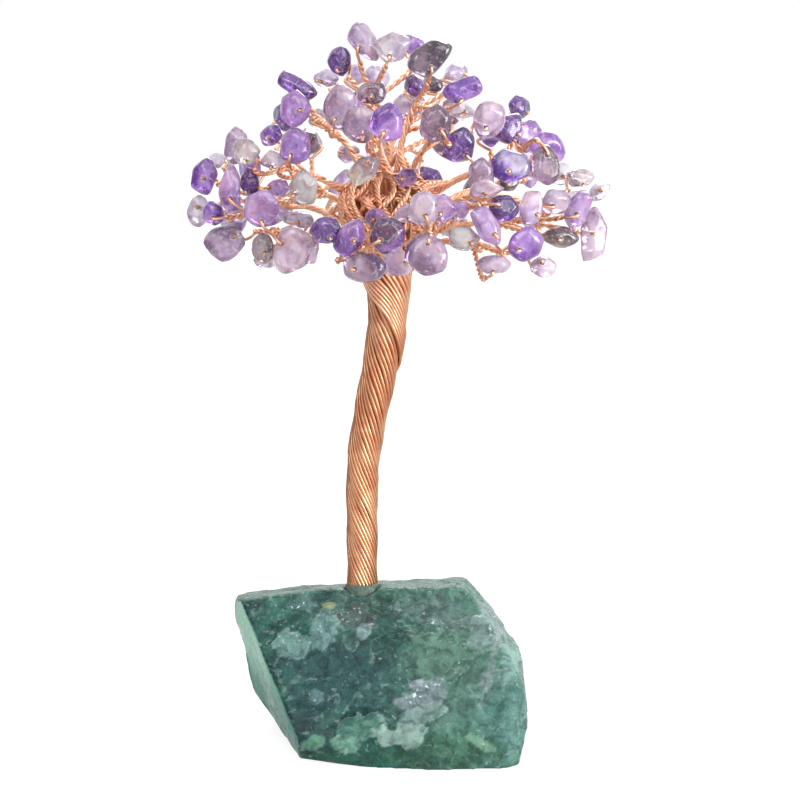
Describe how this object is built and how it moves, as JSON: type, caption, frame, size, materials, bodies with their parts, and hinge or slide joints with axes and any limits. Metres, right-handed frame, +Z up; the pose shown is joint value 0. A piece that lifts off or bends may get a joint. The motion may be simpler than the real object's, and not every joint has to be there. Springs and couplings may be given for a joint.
{
  "type": "gemstone tree",
  "caption": "Ornamental tree of twisted copper wire whose limbs carry drilled tumbled amethyst chips on wire loops, cemented into a rough green fluorite block.",
  "frame": {"origin": "on the flat underside of the fluorite block, below the middle of the trunk's foot", "axes": "+Z up along the foot of the trunk, -Y to the front of the tree, +X to its right"},
  "size_m": [0.0751, 0.0579, 0.1282],
  "materials": {
    "fluorite": "rough cleaved fluorite with glassy flakes",
    "amethyst": "tumbled polish, translucent, violet to pale lavender",
    "copper_wire": "bright drawn copper",
    "adhesive": "clear yellowish cement"
  },
  "bodies": {
    "root": {"fluorite_base": "fluorite", "socket_adhesive": "adhesive", "trunk_core": "copper_wire", "trunk_wire_01": "copper_wire", "trunk_wire_02": "copper_wire", "trunk_wire_03": "copper_wire", "trunk_wire_04": "copper_wire", "trunk_wire_05": "copper_wire", "trunk_wire_06": "copper_wire", "trunk_wire_07": "copper_wire", "trunk_wire_08": "copper_wire", "trunk_wire_09": "copper_wire", "trunk_wire_10": "copper_wire", "trunk_wire_11": "copper_wire", "trunk_wire_12": "copper_wire", "trunk_wire_13": "copper_wire", "trunk_wire_14": "copper_wire", "trunk_wire_15": "copper_wire", "trunk_wire_16": "copper_wire", "trunk_wire_17": "copper_wire", "trunk_wire_18": "copper_wire", "trunk_wire_19": "copper_wire", "trunk_wire_20": "copper_wire", "trunk_wire_21": "copper_wire", "limb_top_left": "copper_wire", "limb_upper_left": "copper_wire", "limb_centre_front_up": "copper_wire", "limb_upper_right": "copper_wire", "limb_top_right": "copper_wire", "limb_left_up": "copper_wire", "limb_left_mid": "copper_wire", "limb_front_left": "copper_wire", "limb_front_centre_left": "copper_wire", "limb_front_centre_right": "copper_wire", "limb_front_right": "copper_wire", "limb_right_mid": "copper_wire", "limb_right_low": "copper_wire", "limb_right_up": "copper_wire", "limb_back_right": "copper_wire", "limb_back_centre": "copper_wire", "limb_back_left": "copper_wire", "chips_top_left": "amethyst", "chips_upper_left": "amethyst", "chips_centre_front_up": "amethyst", "chips_upper_right": "amethyst", "chips_top_right": "amethyst", "chips_left_up": "amethyst", "chips_left_mid": "amethyst", "chips_front_left": "amethyst", "chips_front_centre_left": "amethyst", "chips_front_centre_right": "amethyst", "chips_front_right": "amethyst", "chips_right_mid": "amethyst", "chips_right_low": "amethyst", "chips_right_up": "amethyst", "chips_back_right": "amethyst", "chips_back_centre": "amethyst", "chips_back_left": "amethyst"}
  },
  "joints": []
}
